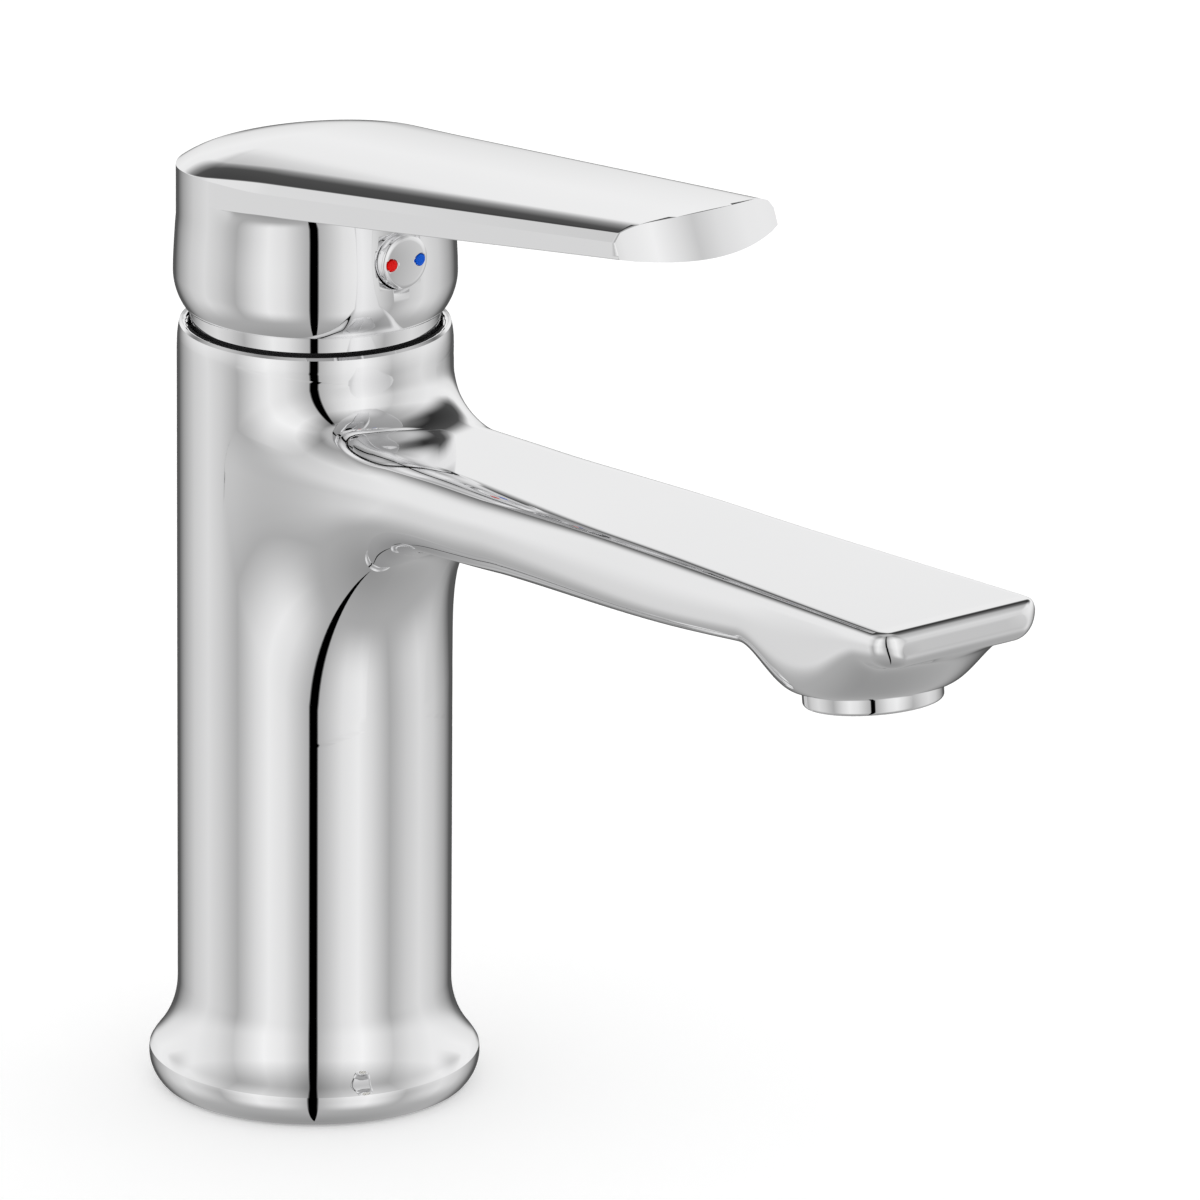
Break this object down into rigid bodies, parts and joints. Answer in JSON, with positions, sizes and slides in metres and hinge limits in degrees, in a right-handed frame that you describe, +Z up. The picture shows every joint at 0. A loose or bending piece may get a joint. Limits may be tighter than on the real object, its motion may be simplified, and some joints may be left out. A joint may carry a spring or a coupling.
{
  "type": "bathroom mixer faucet",
  "caption": "Single-lever basin mixer faucet with a round column, flared foot, long flat spout and flat lever handle.",
  "frame": {"origin": "centre of the column's foot, on the basin deck", "axes": "+Z up along the column; the spout and the lever point along -Y; the hot side is -X and the cold side is +X"},
  "size_m": [0.0544, 0.1935, 0.173],
  "materials": {
    "chrome": "polished",
    "brass": "machined",
    "steel": "ground",
    "ceramic": "lapped",
    "white_plastic": "moulded",
    "grey_plastic": "moulded",
    "rubber": "matt",
    "red_mark": "gloss",
    "blue_mark": "gloss"
  },
  "bodies": {
    "faucet": {"body": "chrome", "base_gasket": "rubber", "cartridge_base": "grey_plastic", "port_seal_hot": "rubber", "port_seal_cold": "rubber", "fixed_disc": "ceramic", "cartridge_housing": "white_plastic", "housing_oring": "rubber", "cartridge_nut": "brass", "trim_ring": "chrome", "aerator_housing": "chrome", "aerator_insert": "white_plastic", "aerator_screen": "steel", "aerator_washer": "rubber"},
    "turning_rotor": {"rotor": "grey_plastic", "pivot_pin": "steel"},
    "lever": {"stem": "brass", "handle": "chrome", "set_screw": "steel", "index_plug": "chrome", "red_dot": "red_mark", "blue_dot": "blue_mark"},
    "disc_slider": {"moving_disc": "ceramic", "disc_carrier": "white_plastic"}
  },
  "joints": [
    {"name": "handle_swivel", "type": "hinge", "parent": "faucet", "child": "turning_rotor", "pos_m": [0, 0, 0.118], "axis": [0, 0, 1], "range_deg": [-45, 45]},
    {"name": "handle_lift", "type": "hinge", "parent": "turning_rotor", "child": "lever", "pos_m": [0, 0, 0.118], "axis": [-1, 0, 0], "range_deg": [0, 22]},
    {"name": "disc_slide", "type": "slide", "parent": "turning_rotor", "child": "disc_slider", "axis": [0, -1, 0], "range_m": [0, 0.0053]}
  ],
  "couplings": [
    {"joint": "disc_slide", "follows": "handle_lift", "m_per_rad": 0.0135}
  ]
}
